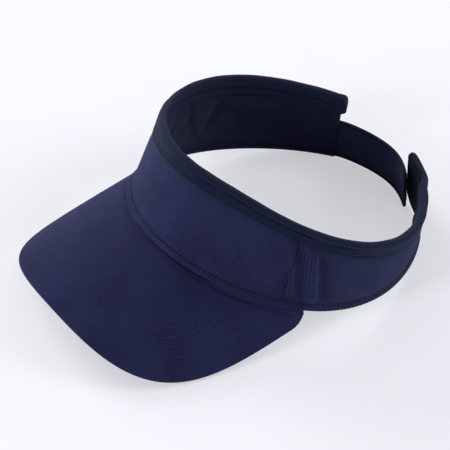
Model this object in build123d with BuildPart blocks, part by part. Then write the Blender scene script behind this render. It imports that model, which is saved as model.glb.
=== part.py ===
"""Adjustable sun visor: a cut-and-sewn twill band with an arched brim and a hook-and-loop closure.

Millimetres, +Z up, brim towards -Y, wearer's left towards +X. The visor stands on the plane z = 0 on its
two brim corners and the rear of its band. The ring of the band is described by one angle: 0 at the middle
of the forehead, +90 over the wearer's left ear, -90 over the right ear, 180 at the back of the head.
"""
from build123d import *
import math
import os

# ---- overall size of the band ----
ring_half_width = 84.5        # half width of the band's lower edge, before the egg shape is added
ring_half_length = 102.5      # half length of the band's lower edge, brow to nape
ring_egg = 0.107              # how much wider the ring is at the temples than behind the ears
ring_square = -0.022          # how much fuller the ring is at its sides than an oval
front_height = 64.5           # height of the band at the forehead
side_height = 57.5            # height of the band over the ears
rear_height = 55.0            # height of the band towards the nape
left_end_height = 47.0        # the left end runs down to the height of its tab
run_down_angle = 62.0         # where that begins

# two cosine series round the ring: the lower edge's height above the table, and how far the wall
# leans inwards, as a share of its height (the forehead leans in and the sides lean out)
lift_mean, lift_first, lift_second = 15.1, 20.4, 5.9
lean_mean, lean_first, lean_second, lean_third, lean_fourth = 0.088, 0.091, 0.151, -0.067, -0.036
temple_lean = 0.038           # the right temple has sagged inwards by this much more
temple_lean_angle = -70.0
temple_lean_reach = 20.0      # degrees
rear_lean = 0.025             # so has the left rear end
rear_lean_angle = 95.0        # where that begins

# ---- where the pieces of the band end, as angles round the ring ----
seam_foot_angle = 54.2        # front panel to side panel, at the lower edge
seam_head_angle = 60.6        # the same seam at the top edge
brim_angle = 64.5             # ends of the brim
right_end_angle = -145.0
left_end_angle = 139.0
strap_end_angle = -202.0
tab_end_angle = 167.0

# ---- thicknesses of the layers ----
twill = 0.7
stiffener = 0.6
foam = 0.8
sweat_fabric = 0.6
tape = 0.6                    # binding tape
hook_pile = 1.0
loop_pile = 1.1
thread = 0.45
ply_gap = 0.08                # air between two layers of one sewn stack
seam_gap = 0.3                # air between pieces that meet edge to edge

# ---- tapes and rows of thread ----
binding_width = 11.5          # outer leg of the top binding
binding_spread = 5.6          # how much wider that leg is over the right temple
binding_spread_angle = -46.0
binding_spread_reach = 27.0   # degrees in which that fades to a third
binding_inner_width = 13.0    # inner leg of the top binding
hem_width = 3.2               # each leg of the bottom binding
end_binding_width = 5.0
binding_stitch_rows = (1.6, 3.6)       # outside rows, from the binding's lower edge
inner_stitch_drop = 7.5       # inside row, from the top edge
hem_stitch_height = 4.8       # row of thread above the lower edge

# ---- closure ----
strap_height = 31.0
strap_foot = 1.0              # lower edges of strap and tab above the band's lower edge
strap_inset = 6.0             # how far the strap's end has come inside the ring
strap_turn = 0.068            # how much further inwards the strap leans at its end
strap_corner = 4.5
tab_height = 45.5
tab_inset = 1.6
tab_turn = 0.060
tab_corner = 12.0
pile_margin = 3.5             # hook and loop patches inside the edges of what carries them
hook_start_angle = 149.0
loop_start_angle = -158.0
edge_stitch = 2.0             # closure's rows of thread from its edges
hinge_clearance = 0.4         # the fold lines of strap and tab lie this far off their thread

# ---- brim ----
brim_front = 179.2            # the brim's front edge, from the middle of the ring
brim_front_pull = 84.6        # how far sideways the front edge runs before it turns
brim_half_width = 85.4
brim_side_pull = 126.7        # how far forward the sides run before they turn
brim_side_end = 58.0
brim_heel = 8.0               # length of the round at each end of the brim
brim_arch_radius = 118.0
brim_arch_spread = 54.0       # degrees each side, wider than the brim
brim_slope = 0.221            # drop per millimetre forwards
brim_rise = 0.9               # top of the brim above the band's lower edge where they meet
brim_board_thickness = 1.4
brim_board_inset = 2.2        # the board stops short of the covers' sewn edge
brim_stitch_rows = 4
brim_stitch_first = 11.5      # outermost row from the edge
brim_stitch_pitch = 5.2

os.makedirs("parts", exist_ok=True)


# ---- the ring ----
def smooth(share):
    """0 to 1 with no corner at either end."""
    s = min(max(share, 0.0), 1.0)
    return s * s * (3 - 2 * s)


def ring_point(angle):
    """The middle of the wall at its lower edge."""
    a = math.radians(angle)
    x = ring_half_width * math.sin(a) * (1 + ring_egg * math.cos(a) + ring_square * math.cos(2 * a))
    y = -ring_half_length * math.cos(a)
    z = lift_mean + lift_first * math.cos(a) + lift_second * math.cos(2 * a)
    return Vector(x, y, z)


def ring_outward(angle):
    """Level direction out of the ring."""
    along = ring_point(angle + 0.05) - ring_point(angle - 0.05)
    return Vector(along.Y, -along.X, 0).normalized()


def arc_angle(length, angle):
    """Angle that a length covers along the ring at one angle."""
    along = ring_point(angle + 0.5) - ring_point(angle - 0.5)
    return length / math.hypot(along.X, along.Y)


def ring_height(angle):
    """Height of the band, with the left end run down to its tab."""
    a = math.radians(angle)
    mean = (front_height + 2 * side_height + rear_height) / 4
    first = (front_height - rear_height) / 2
    second = (front_height - 2 * side_height + rear_height) / 4
    height = mean + first * math.cos(a) + second * math.cos(2 * a)
    run_down = smooth((angle - run_down_angle) / (left_end_angle - run_down_angle))
    return height + (left_end_height - height) * run_down


def wall_lean(angle):
    """Level step inwards for each millimetre up; the closure starts from the band's own ends."""
    a = math.radians(min(max(angle, right_end_angle), left_end_angle))
    band = lean_mean + lean_first * math.cos(a) + lean_second * math.cos(2 * a)
    band += lean_third * math.cos(3 * a) + lean_fourth * math.cos(4 * a)
    band += temple_lean * math.exp(-((angle - temple_lean_angle) / temple_lean_reach) ** 2)
    band += rear_lean * smooth((angle - rear_lean_angle) / (left_end_angle - rear_lean_angle))
    strap_share = max(right_end_angle - angle, 0) / (right_end_angle - strap_end_angle)
    tab_share = max(angle - left_end_angle, 0) / (tab_end_angle - left_end_angle)
    return band + strap_turn * strap_share + tab_turn * tab_share


def wall_length(angle):
    """Slant height of the wall."""
    return ring_height(angle) * math.hypot(1, wall_lean(angle))


def wall_plane(angle):
    """Upright plane across the wall: x outwards, y up, origin at the lower edge."""
    out = ring_outward(angle)
    return Plane(origin=ring_point(angle), x_dir=out, z_dir=out.cross(Vector(0, 0, 1)))


def wall_spot(angle, up, out):
    """A spot in wall_plane, `up` along the leaning wall and `out` off its middle."""
    lean = wall_lean(angle)
    slant = math.hypot(1, lean)
    return ((out - up * lean) / slant, (up + out * lean) / slant)


def angles_between(first, last, step=6.0):
    count = max(3, round(abs(last - first) / step) + 1)
    return [first + (last - first) * i / (count - 1) for i in range(count)]


def profile(angle, corners):
    """One closed profile across the wall, from (up, out) corners."""
    with BuildSketch(wall_plane(angle)) as face:
        with BuildLine():
            Polyline(*[wall_spot(angle, up, out) for up, out in corners], close=True)
        make_face()
    return face.sketch


def wall_point(angle, up, out):
    """A spot on the wall, in space."""
    return wall_plane(angle).from_local_coords((*wall_spot(angle, up, out), 0))


def value(limit, angle):
    return limit(angle) if callable(limit) else limit


def strip(angles, low, high, inner, outer):
    """Loft a flat layer along the wall; each limit is a number or a function of the angle."""
    profiles = []
    for a in angles:
        lo, hi = value(low, a), value(high, a)
        near, far = value(inner, a), value(outer, a)
        profiles.append(profile(a, [(lo, near), (lo, far), (hi, far), (hi, near)]))
    loft(profiles)


# ---- the stack of the wall, from the sweatband's inner face to the twill's outer face ----
stack = sweat_fabric + foam + stiffener + twill + 3 * ply_gap
sweat_in = -stack / 2
sweat_out = sweat_in + sweat_fabric
foam_in = sweat_out + ply_gap
foam_out = foam_in + foam
stiff_in = foam_out + ply_gap
stiff_out = stiff_in + stiffener
twill_in = stiff_out + ply_gap
twill_out = twill_in + twill
tape_in = twill_out + ply_gap
tape_out = tape_in + tape      # the binding is as far out on both sides of the wall
cut_edge = tape + ply_gap      # the layers stop this far inside a binding's fold


def layer_top(angle):
    return wall_length(angle) - cut_edge




def seam_plane(side, shift):
    """Plane of the slanted side seam on one side, facing the rear; `shift` moves it that way."""
    foot = wall_point(seam_foot_angle, 0, 0)
    head = wall_point(seam_head_angle, wall_length(seam_head_angle), 0)
    rear = ring_outward((seam_foot_angle + seam_head_angle) / 2).cross(foot - head).normalized()
    origin = foot + rear * shift
    return Plane(origin=(side * origin.X, origin.Y, origin.Z), z_dir=(side * rear.X, rear.Y, rear.Z))


def front_layer(inner, outer):
    """A layer of the wall between the two side seams."""
    strip(front_run, cut_edge, layer_top, inner, outer)
    for side in (-1, 1):
        split(bisect_by=seam_plane(side, -seam_gap / 2), keep=Keep.BOTTOM)


def side_layer(run, side, inner, outer):
    """A layer of the wall from one side seam to the rear end on that side."""
    strip(run, cut_edge, layer_top, inner, outer)
    split(bisect_by=seam_plane(side, seam_gap / 2), keep=Keep.TOP)


wall_left = left_end_angle - arc_angle(cut_edge, left_end_angle)
wall_right = right_end_angle + arc_angle(cut_edge, right_end_angle)
beside_seam = abs(seam_head_angle - seam_foot_angle) / 2      # the slanted cut stays inside each loft
seam_first = min(seam_foot_angle, seam_head_angle) - beside_seam
seam_last = max(seam_foot_angle, seam_head_angle) + beside_seam
front_run = angles_between(-seam_last, seam_last)
left_run = angles_between(seam_first, wall_left)
right_run = angles_between(wall_right, -seam_first)
whole_run = angles_between(wall_right, wall_left)
edge_run = angles_between(right_end_angle, left_end_angle)

# ---- outer shell ----
with BuildPart() as front_panel:
    front_layer(twill_in, twill_out)
front_panel.part.label = "front_panel"

with BuildPart() as left_side_panel:
    side_layer(left_run, 1, twill_in, twill_out)
left_side_panel.part.label = "left_side_panel"

with BuildPart() as right_side_panel:
    side_layer(right_run, -1, twill_in, twill_out)
right_side_panel.part.label = "right_side_panel"

# ---- stiffening and sweatband ----
with BuildPart() as front_stiffener:
    front_layer(stiff_in, stiff_out)
front_stiffener.part.label = "front_stiffener"

with BuildPart() as left_interlining:
    side_layer(left_run, 1, stiff_in, stiff_out)
left_interlining.part.label = "left_interlining"

with BuildPart() as right_interlining:
    side_layer(right_run, -1, stiff_in, stiff_out)
right_interlining.part.label = "right_interlining"

with BuildPart() as sweatband_foam:
    strip(whole_run, cut_edge, layer_top, foam_in, foam_out)
sweatband_foam.part.label = "sweatband_foam"

with BuildPart() as sweatband:
    strip(whole_run, cut_edge, layer_top, sweat_in, sweat_out)
sweatband.part.label = "sweatband"


# ---- bindings: tape folded over the raw edges ----
def outer_foot(angle):
    """Height of the lower edge of the top binding's outer leg."""
    away = (angle - binding_spread_angle) / binding_spread_reach
    return wall_length(angle) - binding_width - binding_spread * math.exp(-away * away)


def top_fold(angle):
    edge = wall_length(angle)
    inner_foot = edge - binding_inner_width
    return [
        (outer_foot(angle), tape_out), (edge, tape_out), (edge, -tape_out), (inner_foot, -tape_out),
        (inner_foot, -tape_in), (edge - tape, -tape_in), (edge - tape, tape_in), (outer_foot(angle), tape_in),
    ]


def bottom_fold(angle):
    return [
        (hem_width, tape_out), (0, tape_out), (0, -tape_out), (hem_width, -tape_out),
        (hem_width, -tape_in), (tape, -tape_in), (tape, tape_in), (hem_width, tape_in),
    ]


with BuildPart() as top_binding:
    loft([profile(a, top_fold(a)) for a in edge_run])
top_binding.part.label = "top_binding"

with BuildPart() as bottom_binding:
    loft([profile(a, bottom_fold(a)) for a in edge_run])
bottom_binding.part.label = "bottom_binding"


def end_low(angle):
    return hem_width + ply_gap


def end_high(angle):
    return min(outer_foot(angle), wall_length(angle) - binding_inner_width) - ply_gap


def end_binding(end, inward):
    """Tape folded over a vertical end of the band; inward is the sign of the angle into the band."""
    inside = end + inward * arc_angle(tape, end)
    fold = angles_between(end, inside)
    legs = angles_between(inside, end + inward * arc_angle(end_binding_width, end))
    strip(fold, end_low, end_high, -tape_out, tape_out)
    strip(legs, end_low, end_high, tape_in, tape_out)
    strip(legs, end_low, end_high, -tape_out, -tape_in)


with BuildPart() as right_end_binding:
    end_binding(right_end_angle, 1)
right_end_binding.part.label = "right_end_binding"

with BuildPart() as left_end_binding:
    end_binding(left_end_angle, -1)
left_end_binding.part.label = "left_end_binding"


# ---- rows of thread on the band ----
def thread_row(angles, height, face, away):
    """A row of thread lying on a face; away is +1 outside the ring and -1 inside it."""
    start = face + away * ply_gap / 2
    near, far = sorted((start, start + away * thread))
    strip(angles, lambda a: value(height, a) - thread / 2, lambda a: value(height, a) + thread / 2, near, far)


hem_run = angles_between(
    right_end_angle + arc_angle(end_binding_width + seam_gap, right_end_angle),
    left_end_angle - arc_angle(end_binding_width + seam_gap, left_end_angle),
)
with BuildPart() as hem_topstitch:
    thread_row(hem_run, hem_stitch_height, twill_out, 1)
hem_topstitch.part.label = "hem_topstitch"

with BuildPart() as binding_topstitch:
    for row in binding_stitch_rows:
        thread_row(edge_run, lambda a: outer_foot(a) + row, tape_out, 1)
    thread_row(edge_run, lambda a: wall_length(a) - inner_stitch_drop, -tape_out, -1)
binding_topstitch.part.label = "binding_topstitch"


# ---- closure: a strap on the right end, and a tab on the left end that laps over it ----
def shifted(shift, out):
    return lambda a: shift(a) + out


def round_end(root, last, low, high, corner):
    """Cut the two corners off the strip just lofted, at its last angle, to a radius."""
    turn = 1 if last > root else -1
    out = ring_outward(last)
    tip = out.cross(Vector(0, 0, 1)) * -turn
    slant = math.hypot(1, wall_lean(last))
    spare = corner / 2
    with BuildSketch(Plane(origin=ring_point(last), x_dir=tip, z_dir=out)) as corners:
        for edge, side in ((high, 1), (low, -1)):
            middle = (-corner, turn * (edge / slant - side * corner))
            reach = Align.MIN if side * turn > 0 else Align.MAX
            with Locations(middle):
                Rectangle(corner + spare, corner + spare, align=(Align.MIN, reach))
        for edge, side in ((high, 1), (low, -1)):
            with Locations((-corner, turn * (edge / slant - side * corner))):
                Circle(corner, mode=Mode.SUBTRACT)
    extrude(corners.sketch, amount=corner + strap_inset, both=True, mode=Mode.SUBTRACT)


def strap_shift(angle):
    return -strap_inset * (right_end_angle - angle) / (right_end_angle - strap_end_angle)


def tab_shift(angle):
    return -tab_inset * smooth((angle - left_end_angle) / (tab_end_angle - left_end_angle))


strap_root = right_end_angle - arc_angle(seam_gap, right_end_angle)
tab_root = left_end_angle + arc_angle(seam_gap, left_end_angle)
strap_run = angles_between(strap_root, strap_end_angle)
tab_run = angles_between(tab_root, tab_end_angle)
strap_low, strap_high = strap_foot, strap_foot + strap_height
tab_low, tab_high = strap_foot, strap_foot + tab_height
lining_out = twill_out - twill - ply_gap      # the tab's inner ply lies against its outer one
hook_out = lining_out - twill - ply_gap
loop_in = twill + ply_gap * 1.5

with BuildPart() as strap_inner:
    strip(strap_run, strap_low, strap_high, shifted(strap_shift, -twill - ply_gap / 2),
          shifted(strap_shift, -ply_gap / 2))
    round_end(strap_root, strap_end_angle, strap_low, strap_high, strap_corner)
strap_inner.part.label = "strap_inner"

with BuildPart() as strap_outer:
    strip(strap_run, strap_low, strap_high, shifted(strap_shift, ply_gap / 2),
          shifted(strap_shift, twill + ply_gap / 2))
    round_end(strap_root, strap_end_angle, strap_low, strap_high, strap_corner)
strap_outer.part.label = "strap_outer"

loop_end = strap_end_angle + arc_angle(pile_margin, strap_end_angle)
with BuildPart() as loop_patch:
    strip(angles_between(loop_start_angle, loop_end), strap_low + pile_margin, strap_high - pile_margin,
          shifted(strap_shift, loop_in), shifted(strap_shift, loop_in + loop_pile))
    round_end(loop_start_angle, loop_end, strap_low + pile_margin, strap_high - pile_margin,
              strap_corner - pile_margin)
loop_patch.part.label = "loop_patch"

with BuildPart() as tab_outer:
    strip(tab_run, tab_low, tab_high, shifted(tab_shift, twill_out - twill), shifted(tab_shift, twill_out))
    round_end(tab_root, tab_end_angle, tab_low, tab_high, tab_corner)
tab_outer.part.label = "tab_outer"

with BuildPart() as tab_inner:
    strip(tab_run, tab_low, tab_high, shifted(tab_shift, lining_out - twill), shifted(tab_shift, lining_out))
    round_end(tab_root, tab_end_angle, tab_low, tab_high, tab_corner)
tab_inner.part.label = "tab_inner"

hook_end = tab_end_angle - arc_angle(pile_margin, tab_end_angle)
with BuildPart() as hook_patch:
    strip(angles_between(hook_start_angle, hook_end), tab_low + pile_margin, tab_high - pile_margin,
          shifted(tab_shift, hook_out - hook_pile), shifted(tab_shift, hook_out))
    round_end(hook_start_angle, hook_end, tab_low + pile_margin, tab_high - pile_margin,
              tab_corner - pile_margin)
hook_patch.part.label = "hook_patch"


def closure_stitch(root, last, corner, low, high, shift, face, away):
    """Two rows of thread along the edges of a strap, as far as its rounded end."""
    turn = last + arc_angle(corner, last) * (1 if root > last else -1)
    thread_in = face + away * ply_gap
    near, far = sorted((thread_in, thread_in + away * thread))
    for foot in (low + edge_stitch, high - edge_stitch - thread):
        strip(angles_between(root, turn), foot, foot + thread, shifted(shift, near), shifted(shift, far))


with BuildPart() as strap_topstitch:
    closure_stitch(strap_root, strap_end_angle, strap_corner, strap_low, strap_high,
                   strap_shift, -twill - ply_gap / 2, -1)
strap_topstitch.part.label = "strap_topstitch"

with BuildPart() as tab_topstitch:
    closure_stitch(tab_root, tab_end_angle, tab_corner, tab_low, tab_high, tab_shift, twill_out, 1)
tab_topstitch.part.label = "tab_topstitch"


def fold_line(angle, out):
    """The axis, pointing down, that a piece of the closure folds about at its sewn end."""
    foot = wall_point(angle, 0, out)
    return Axis(foot, foot - wall_point(angle, tab_height, out))


# each fold lies just clear of the thread, on the side that its piece folds to
strap_fold = fold_line(
    (right_end_angle + strap_root) / 2, -twill - ply_gap * 1.5 - thread - hinge_clearance
)
tab_fold = fold_line((left_end_angle + tab_root) / 2, twill_out + ply_gap + thread + hinge_clearance)
print("strap folds inwards about", strap_fold)
print("tab folds outwards about", tab_fold)


# ---- brim ----
def ring_foot(angle, away):
    """Plan position beside the band's lower edge."""
    spot = ring_point(angle) + ring_outward(angle) * away
    return (spot.X, spot.Y)


brim_seam = tape_out + seam_gap


def brim_blank(inset):
    """Flat outline of the brim, or of a line that runs parallel to its edge, reaching in under the band."""
    foot = ring_foot(brim_angle, brim_seam - 2)
    heel = (foot[0] - inset, foot[1])
    front = (0, inset - brim_front)
    front_pull = (brim_front_pull - inset, inset - brim_front)
    side_pull = (brim_half_width - inset, inset - brim_side_pull)
    turn = (brim_half_width - inset, -brim_side_end)
    with BuildSketch() as blank:
        with BuildLine():
            Bezier(front, front_pull, side_pull, turn)
            Bezier(turn, (turn[0], turn[1] + brim_heel), (heel[0] + 1, heel[1] - brim_heel / 2), heel)
            Line(heel, (0, heel[1] + 10))
            mirror(about=Plane.YZ)
        make_face()
    return blank.sketch


with BuildSketch() as ring_disc:
    with BuildLine():
        Spline(*[ring_foot(a, brim_seam) for a in range(-180, 180, 15)], periodic=True)
    make_face()

brim_crown = lift_mean + lift_first + lift_second + brim_rise      # top of the brim at the forehead


def brim_slab(low, high):
    """Arched, sloping layer between two depths below the brim's upper face."""
    crown = brim_crown + brim_slope * ring_half_length
    spread = math.radians(brim_arch_spread)
    with BuildSketch(Plane.XZ) as arch:
        with BuildLine():
            ends = []
            for depth in (low, high):
                radius = brim_arch_radius - depth
                x = radius * math.sin(spread)
                z = crown - brim_arch_radius + radius * math.cos(spread)
                ThreePointArc((-x, z), (0, crown - depth), (x, z))
                ends.append((x, z))
            Line(*ends)
            Line(*[(-x, z) for x, z in ends])
        make_face()
    extrude(arch.sketch, amount=brim_front * 1.2, dir=(0, -1, -brim_slope))


def cut_to(outline):
    """Keep what lies over an outline in plan."""
    with BuildSketch(Plane.XY.offset(-brim_crown)) as plan:
        add(outline)
    extrude(plan.sketch, amount=4 * brim_crown, mode=Mode.INTERSECT)


whole_brim = brim_blank(0) - ring_disc.sketch
board_outline = brim_blank(brim_board_inset) - ring_disc.sketch
pocket_outline = brim_blank(brim_board_inset - ply_gap) - ring_disc.sketch
board_top = twill + ply_gap
board_low = board_top + brim_board_thickness
under_top = board_low + ply_gap
under_low = under_top + twill

with BuildPart() as brim_board:
    brim_slab(board_top, board_low)
    cut_to(board_outline)
brim_board.part.label = "brim_board"

with BuildPart() as board_pocket:
    brim_slab(twill, under_low)
    cut_to(pocket_outline)

with BuildPart() as brim_top_cover:
    brim_slab(0, board_low)
    cut_to(whole_brim)
    add(board_pocket.part, mode=Mode.SUBTRACT)
brim_top_cover.part.label = "brim_top_cover"

with BuildPart() as brim_under_cover:
    brim_slab(under_top, under_low)
    cut_to(whole_brim)
brim_under_cover.part.label = "brim_under_cover"


def brim_row(inset):
    """A row of thread on the brim's upper face, parallel to its outer edge."""
    with BuildPart() as row:
        brim_slab(-ply_gap / 2 - thread, -ply_gap / 2)
        cut_to(brim_blank(inset) - brim_blank(inset + thread) - ring_disc.sketch)
    return row.part


with BuildPart() as brim_topstitch:
    for row in range(brim_stitch_rows):
        add(brim_row(brim_stitch_first + row * brim_stitch_pitch))
brim_topstitch.part.label = "brim_topstitch"

pieces = [
    front_panel, left_side_panel, right_side_panel, front_stiffener, left_interlining, right_interlining,
    sweatband_foam, sweatband, top_binding, bottom_binding, right_end_binding, left_end_binding,
    hem_topstitch, binding_topstitch, strap_inner, strap_outer, loop_patch, strap_topstitch,
    tab_outer, tab_inner, hook_patch, tab_topstitch,
    brim_board, brim_top_cover, brim_under_cover, brim_topstitch,
]
for piece in pieces:
    export_step(piece.part, f"parts/{piece.part.label}.step")
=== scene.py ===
# %% [markdown]
# # A sun visor in cotton twill
# A sun visor is a band of cloth round the head with a stiff brim in front and a strap that closes at the
# back. Here each cloth piece is built over the imported CAD model, so that every seam stays where it is. Most
# pieces are tied to the CAD body that they belong to; the plies of the strap and the tab and their thread are
# tied to none.

# %% The frame
import math
import bpy
import numpy as np
from mathutils import Matrix, Vector


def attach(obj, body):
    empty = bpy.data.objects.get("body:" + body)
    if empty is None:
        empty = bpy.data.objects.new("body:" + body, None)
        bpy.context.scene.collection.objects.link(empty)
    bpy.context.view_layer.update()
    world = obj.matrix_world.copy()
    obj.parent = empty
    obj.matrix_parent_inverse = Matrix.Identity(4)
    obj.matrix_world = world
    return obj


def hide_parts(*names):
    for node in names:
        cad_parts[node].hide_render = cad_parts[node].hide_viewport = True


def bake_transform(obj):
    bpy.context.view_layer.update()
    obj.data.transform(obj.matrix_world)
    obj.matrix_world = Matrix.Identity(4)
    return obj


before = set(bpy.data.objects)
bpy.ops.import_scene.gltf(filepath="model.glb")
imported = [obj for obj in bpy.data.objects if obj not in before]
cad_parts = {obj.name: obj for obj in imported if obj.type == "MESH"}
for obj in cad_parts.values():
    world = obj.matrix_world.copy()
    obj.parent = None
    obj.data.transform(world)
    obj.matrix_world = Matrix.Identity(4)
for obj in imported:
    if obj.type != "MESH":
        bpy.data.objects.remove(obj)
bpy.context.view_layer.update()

MM = 0.001

# %% [markdown]
# ## The ring
# The band is one leaning wall bent round a head. One angle describes it: 0 at the middle of the forehead,
# +90 over the wearer's left ear, -90 over the right ear. The same short formulas as in the CAD give the
# lower edge, the lean and the height, so a spot on the wall is an angle, a distance up and a distance out.
# Everything is worked out in millimetres and turned to metres once, when a mesh is made.

# %% Formulas of the ring
SEAM_FOOT, SEAM_HEAD, BRIM_END = 54.2, 60.6, 64.5
RIGHT_END, LEFT_END = -145.0, 139.0
STRAP_END, TAB_END = -202.0, 167.0
ON_SIDES, AT_ENDS = 1.6, 1.7          # rough millimetres of wall to a degree, for folds and wrinkles


def smooth(share):
    s = np.clip(share, 0.0, 1.0)
    return s * s * (3 - 2 * s)


def lower_edge(angle):
    a = np.radians(angle)
    x = 84.5 * np.sin(a) * (1 + 0.107 * np.cos(a) - 0.022 * np.cos(2 * a))
    return np.stack([x, -102.5 * np.cos(a), 15.1 + 20.4 * np.cos(a) + 5.9 * np.cos(2 * a)], -1)


def along_ring(angle):
    step = lower_edge(angle + 0.05) - lower_edge(angle - 0.05)
    return step / np.linalg.norm(step[..., :2], axis=-1, keepdims=True)


def outward(angle):
    step = along_ring(angle)
    return np.stack([step[..., 1], -step[..., 0], 0 * step[..., 0]], -1)


def mm_per_degree(angle):
    step = lower_edge(angle + 0.5) - lower_edge(angle - 0.5)
    return np.hypot(step[..., 0], step[..., 1])


def lean(angle):
    a = np.radians(np.clip(angle, RIGHT_END, LEFT_END))
    wall = 0.088 + 0.091 * np.cos(a) + 0.151 * np.cos(2 * a) - 0.067 * np.cos(3 * a) - 0.036 * np.cos(4 * a)
    # the right temple and the left rear end have sagged inwards
    wall = wall + 0.038 * np.exp(-((angle + 70) / 20) ** 2) + 0.025 * smooth((angle - 95) / (LEFT_END - 95))
    wall = wall + 0.068 * np.maximum(RIGHT_END - angle, 0) / (RIGHT_END - STRAP_END)
    return wall + 0.060 * np.maximum(angle - LEFT_END, 0) / (TAB_END - LEFT_END)


def crest(angle):
    """Slant height of the wall."""
    a = np.radians(angle)
    height = (64.5 + 2 * 57.5 + 55) / 4 + (64.5 - 55) / 2 * np.cos(a)
    height = height + (64.5 - 2 * 57.5 + 55) / 4 * np.cos(2 * a)
    height = height + (47 - height) * smooth((angle - 62) / (LEFT_END - 62))
    return height * np.hypot(1, lean(angle))


def wall(angle, up, out):
    """Spots on the wall, from angles and distances up its slope and out from its middle."""
    angle, up, out = np.broadcast_arrays(np.asarray(angle, float), up, out)
    tilt = lean(angle)
    slant = np.hypot(1, tilt)
    spot = lower_edge(angle) + outward(angle) * ((out - up * tilt) / slant)[..., None]
    spot[..., 2] += (up + out * tilt) / slant
    return spot


TURN = np.linspace(-215, 180, 1600)
ROUND = np.cumsum(mm_per_degree(TURN)) * (TURN[1] - TURN[0])


def ring_run(angle):
    """Distance along the ring to an angle."""
    return np.interp(angle, TURN, ROUND)


def angle_at(run):
    return np.interp(run, ROUND, TURN)


def run_between(first, last):
    return float(abs(ring_run(last) - ring_run(first)))


def degrees_for(distance, angle):
    """The angle that a distance in millimetres covers at one place on the ring."""
    return distance / float(mm_per_degree(np.array(angle)))


print("forehead wall", round(float(crest(np.array(0.0))), 1), "mm tall")

# %% [markdown]
# ## Layers
# The wall is a sandwich. From the head outwards it has the sweatband, a thin foam, a stiff interlining and
# the twill, with tape folded over all of them at every edge. The stack keeps the CAD thicknesses, so the
# hidden CAD layers fit inside the cloth made here.

# %% Thicknesses, from the middle of the wall outwards
SWEAT = (-1.47, -0.87)
TWILL = (0.77, 1.47)
TAPE = (1.55, 2.15)
CUT = 0.68            # cloth stops this far inside the fold of a tape
HEM = 3.2
STITCH_UP = 5.2       # row of thread above the lower edge
STITCH_UP_INSIDE = 4.2
END_TAPE = 5.0
INNER_LEG = 13.0      # inner leg of the tape on the top edge


def outer_leg(angle):
    """Outer leg of that tape, which is wider over the right temple."""
    return 11.5 + 5.6 * np.exp(-((angle + 46) / 27) ** 2)


def seam_at(up):
    """Angle of the slanted seam between the forehead and a side, for each height."""
    return SEAM_FOOT + (SEAM_HEAD - SEAM_FOOT) * up / 61.0


print("outer leg at the temple", round(float(outer_leg(-46.0)), 1), "mm")

# %% [markdown]
# ## Materials
# Cotton twill is woven with a step in each row, which shows as fine ribs. Its fibres are matt and a little
# hairy, so it has no clear reflection, and it looks paler where it turns away from the eye. A wave gives the
# ribs, noise breaks them up as uneven yarn does, and sheen gives the pale edges. Patterns use a UV map that
# is laid out in millimetres along the cloth, so the ribs follow the cut of each piece.

# %% Colour and node helpers
def colour(code):
    """An sRGB hex colour as linear numbers."""
    parts = [int(code[i:i + 2], 16) / 255 for i in (1, 3, 5)]
    return tuple(c / 12.92 if c <= 0.04045 else ((c + 0.055) / 1.055) ** 2.4 for c in parts) + (1.0,)


def add(material, kind, settings=(), links=()):
    """Adds a node, sets its properties or its sockets, and links its inputs."""
    node = material.node_tree.nodes.new(kind)
    for key, value in dict(settings).items():
        if isinstance(key, str) and hasattr(node, key):
            setattr(node, key, value)
        else:
            node.inputs[key].default_value = value
    for key, source in dict(links).items():
        material.node_tree.links.new(source, node.inputs[key])
    return node


def new_material(name):
    material = bpy.data.materials.new(name)
    material.use_nodes = True
    material.node_tree.nodes.clear()
    return material


def finish_material(material, shader):
    add(material, "ShaderNodeOutputMaterial", links={"Surface": shader.outputs[0]})
    print("material", material.name)
    return material


def fibrous(material, shade, height, stops, dark, pale, depth, settings):
    """Ends a material of fibres: colours from dark to pale, a bump as deep as the fibres, and one shader."""
    ramp = add(material, "ShaderNodeValToRGB", links={"Fac": shade})
    for element, stop, code in zip(ramp.color_ramp.elements, stops, (dark, pale)):
        element.position, element.color = stop, colour(code)
    bump = add(material, "ShaderNodeBump", {"Strength": 1.0, "Distance": depth * MM}, {"Height": height})
    skin = add(material, "ShaderNodeBsdfPrincipled", settings,
               {"Base Color": ramp.outputs["Color"], "Normal": bump.outputs[0]})
    return finish_material(material, skin)


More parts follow.
